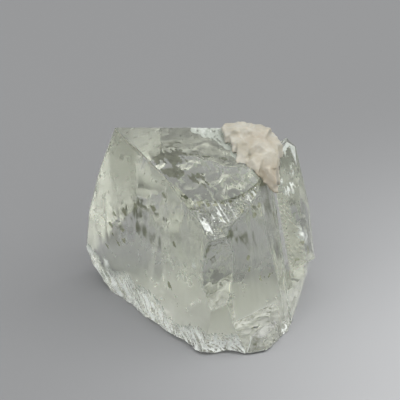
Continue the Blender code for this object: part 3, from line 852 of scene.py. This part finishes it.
def set_inputs(node, **values):
    """Sets sockets of a node, whose names are written with underscores for spaces."""
    for name, value in values.items():
        node.inputs[name.replace("_", " ")].default_value = value
    return node


def texture(tree, kind, output, **values):
    """Output of a texture that follows the position on the object."""
    made = set_inputs(tree.nodes.new(kind), **values)
    position = tree.nodes.new("ShaderNodeTexCoord")
    tree.links.new(position.outputs["Object"], made.inputs["Vector"])
    return made.outputs[output]


def stored(tree, name):
    """Output that reads a value stored on the mesh."""
    made = tree.nodes.new("ShaderNodeAttribute")
    made.attribute_name = name
    return made.outputs["Fac"]


def calculated(tree, operation, *terms):
    """Output of a calculation whose terms are numbers or other nodes' outputs."""
    made = tree.nodes.new("ShaderNodeMath")
    made.operation = operation
    for socket, term in zip(made.inputs, terms):
        if isinstance(term, float):
            socket.default_value = term
        else:
            tree.links.new(term, socket)
    return made.outputs["Value"]


def color_ramp(tree, amount, dark, light, start=0.0, end=1.0, interpolation="LINEAR"):
    """Output that runs from the dark to the light colour as the amount goes from start to end."""
    made = tree.nodes.new("ShaderNodeValToRGB")
    made.color_ramp.interpolation = interpolation
    for element, color, position in zip(made.color_ramp.elements, (dark, light), (start, end)):
        element.color = with_alpha(color)
        element.position = position
    tree.links.new(amount, made.inputs["Fac"])
    return made.outputs["Color"]


def topaz_material():
    """Clear crystal, tinted by its depth."""
    made, tree, shader = new_material("topaz_clear")
    set_inputs(shader, Base_Color=with_alpha(WHITE), Transmission_Weight=1.0, IOR=TOPAZ_IOR)
    patches = texture(tree, "ShaderNodeTexNoise", "Fac", Scale=PATCH_SCALE, Detail=PATCH_DETAIL)
    vary = set_inputs(tree.nodes.new("ShaderNodeMapRange"), **PATCH_RANGE)
    tree.links.new(patches, vary.inputs["Value"])
    rough = calculated(tree, "MULTIPLY", stored(tree, "finish"), vary.outputs["Result"])
    tree.links.new(rough, shader.inputs["Roughness"])
    absorb = tree.nodes.new("ShaderNodeVolumeAbsorption")
    set_inputs(absorb, Color=with_alpha(TOPAZ_TINT), Density=TOPAZ_DENSITY)
    tree.links.new(absorb.outputs["Volume"], tree.nodes["Material Output"].inputs["Volume"])
    return made


def frost_and_highlight_material():
    """Crushed crystal, white and closed to view, which also carries the painted highlights and glints."""
    made, tree, shader = new_material("topaz_frost")
    crumbs = texture(tree, "ShaderNodeTexVoronoi", "Distance", Scale=CRUMB_SCALE)
    # Whiteness, painted highlights included, less painted shade in the gaps between crumbs.
    level = calculated(tree, "MULTIPLY_ADD", crumbs, CRUMB_SHADE, stored(tree, "finish"))
    tree.links.new(color_ramp(tree, level, FROST_DARK, FROST_AND_HIGHLIGHT_LIGHT), shader.inputs["Base Color"])
    set_inputs(shader, Roughness=FROST_ROUGHNESS, IOR=TOPAZ_IOR)
    return made


def film_and_shade_material():
    """Brown-green film, and painted shade where the view through the crystal is dark, closed to view."""
    made, tree, shader = new_material("topaz_stain")
    blots = texture(tree, "ShaderNodeTexNoise", "Fac", Scale=FILM_AND_SHADE_SCALE)
    tint = color_ramp(tree, blots, FILM_AND_SHADE_DARK, FILM_AND_SHADE_LIGHT, *FILM_AND_SHADE_RANGE)
    tree.links.new(tint, shader.inputs["Base Color"])
    set_inputs(shader, Roughness=FILM_AND_SHADE_ROUGHNESS)
    return made


def feldspar_material():
    """Cream stone, tan in its recesses, that light enters a little."""
    made, tree, shader = new_material("feldspar")
    patches = texture(tree, "ShaderNodeTexNoise", "Fac", Scale=CREAM_SCALE, Detail=CREAM_DETAIL)
    cream = color_ramp(tree, patches, CREAM_DARK, CREAM_LIGHT, *CREAM_RANGE)
    both = tree.nodes.new("ShaderNodeMix")
    both.data_type = "RGBA"
    both.inputs["B"].default_value = with_alpha(TAN_COLOR)
    tree.links.new(cream, both.inputs["A"])
    tree.links.new(stored(tree, "tan"), both.inputs["Factor"])
    tree.links.new(both.outputs["Result"], shader.inputs["Base Color"])
    set_inputs(shader, Roughness=FELDSPAR_ROUGHNESS, Subsurface_Weight=FELDSPAR_SCATTER)
    set_inputs(shader, Subsurface_Radius=SCATTER_REACH)
    return made


def floor_material():
    made, _, shader = new_material("floor")
    set_inputs(shader, Base_Color=with_alpha(FLOOR_COLOR), Roughness=FLOOR_ROUGHNESS)
    return made


# ---- pieces ----

FLOOR_SIZE = 3.0                # metres
FLOOR_DROP = 0.00003            # metres below the base, so that the two don't lie in one plane


def make_topaz():
    topaz = build_topaz()
    finish_surface(topaz.data)
    keep_inside(topaz, cad_box)
    topaz.name = "topaz"
    for material in (topaz_material(), frost_and_highlight_material(), film_and_shade_material()):
        topaz.data.materials.append(material)
    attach(topaz, "root")
    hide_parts("topaz_crystal")


def make_feldspar():
    feldspar = build_feldspar()
    keep_inside(feldspar, cad_box)
    data = feldspar.data
    for polygon in data.polygons:
        polygon.use_smooth = True
    points = np.array([vert.co for vert in data.vertices]) / MM
    tan = data.attributes.new("tan", "FLOAT", "POINT")
    tan.data.foreach_set("value", near_spots(points, TAN).astype(np.float32))
    data.materials.clear()
    data.materials.append(feldspar_material())
    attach(feldspar, "root")
    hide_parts("feldspar_cluster")


def make_floor():
    bpy.ops.mesh.primitive_plane_add(size=FLOOR_SIZE, location=(0.0, 0.0, -FLOOR_DROP))
    floor = bpy.context.object
    floor.name = "floor"
    floor.data.materials.append(floor_material())


# ---- light and camera, in metres ----

WINDOWS = {                     # place, side of the square and power in watts
    "window": ((-0.40, -0.25, 0.40), 0.4, 0.9),
    "far_window": ((0.45, 0.0, 0.48), 0.5, 1.4),
}
WINDOW_AIM = (0.0, 0.0, 0.01)
POOL_PLACE = (0.12, -0.08, 0.28)          # lamp that brightens the floor right of the crystal
POOL_AIM = (0.057, -0.024, 0.0)
POOL_POWER = 5.0                          # watts
POOL_ANGLE = 26.0                         # degrees
POOL_SOFTNESS = 0.02
SKY_AXIS = (0.0, -0.32, 0.90)             # toward the brightest part of the sky
SKY_DARK = (0.40, 0.40, 0.40)
SKY_BRIGHT = (2.2, 2.2, 2.2)
SKY_RANGE = (0.3, 0.95)                   # cosine of the angle to that axis, where it is dark and bright
SKY_STRENGTH = 0.74

CAMERA_ELEVATION = 33.0                   # degrees above level
CAMERA_DISTANCE = 0.230                   # from the camera to the point it turns about
CAMERA_TARGET = (0.0, -0.00124, 0.010)
PIXELS_PER_MM = 7.67                      # at that point
IMAGE_SIZE = 400
TARGET_PIXEL = (202.0, 240.0)             # where that point lies in the image
SENSOR_WIDTH = 36.0                       # mm
NEAREST_SEEN = 0.01
BOUNCES = 24                              # enough for light to find its way out of the crystal


def place_light(data, place, aim):
    """Puts a light in the scene, turned toward a point."""
    light = bpy.data.objects.new(data.name, data)
    light.location = place
    light.rotation_euler = (Vector(aim) - Vector(place)).to_track_quat("-Z", "Y").to_euler()
    bpy.context.scene.collection.objects.link(light)


def make_windows():
    for name, (place, size, power) in WINDOWS.items():
        window = bpy.data.lights.new(name, "AREA")
        window.size = size
        window.energy = power
        place_light(window, place, WINDOW_AIM)


def make_pool():
    pool = bpy.data.lights.new("pool", "SPOT")
    pool.energy = POOL_POWER
    pool.spot_size = math.radians(POOL_ANGLE)
    pool.spot_blend = 1.0
    pool.shadow_soft_size = POOL_SOFTNESS
    place_light(pool, POOL_PLACE, POOL_AIM)


def make_sky():
    """Soft light from all round, brightest along one axis."""
    world = bpy.data.worlds.new("studio")
    bpy.context.scene.world = world
    world.use_nodes = True
    tree = world.node_tree
    look = tree.nodes.new("ShaderNodeTexCoord")
    toward = tree.nodes.new("ShaderNodeVectorMath")
    toward.operation = "DOT_PRODUCT"
    toward.inputs[1].default_value = Vector(SKY_AXIS).normalized()
    tree.links.new(look.outputs["Generated"], toward.inputs[0])
    glow = color_ramp(tree, toward.outputs["Value"], SKY_DARK, SKY_BRIGHT, *SKY_RANGE, interpolation="EASE")
    tree.links.new(glow, tree.nodes["Background"].inputs["Color"])
    set_inputs(tree.nodes["Background"], Strength=SKY_STRENGTH)


def make_camera():
    data = bpy.data.cameras.new("camera")
    camera = bpy.data.objects.new("camera", data)
    bpy.context.scene.collection.objects.link(camera)
    tilt = math.radians(CAMERA_ELEVATION)
    view = Vector((0.0, math.cos(tilt), -math.sin(tilt)))
    camera.location = Vector(CAMERA_TARGET) - view * CAMERA_DISTANCE
    camera.rotation_euler = view.to_track_quat("-Z", "Y").to_euler()
    data.sensor_width = SENSOR_WIDTH
    data.lens = PIXELS_PER_MM / MM * CAMERA_DISTANCE * data.sensor_width / IMAGE_SIZE
    data.shift_x = (IMAGE_SIZE / 2 - TARGET_PIXEL[0]) / IMAGE_SIZE
    data.shift_y = (TARGET_PIXEL[1] - IMAGE_SIZE / 2) / IMAGE_SIZE
    data.clip_start = NEAREST_SEEN
    bpy.context.scene.camera = camera


make_topaz()
make_feldspar()
make_floor()
make_windows()
make_pool()
make_sky()
make_camera()
bpy.context.scene.view_settings.view_transform = "Standard"
bpy.context.scene.cycles.max_bounces = BOUNCES
bpy.context.scene.cycles.transmission_bounces = BOUNCES
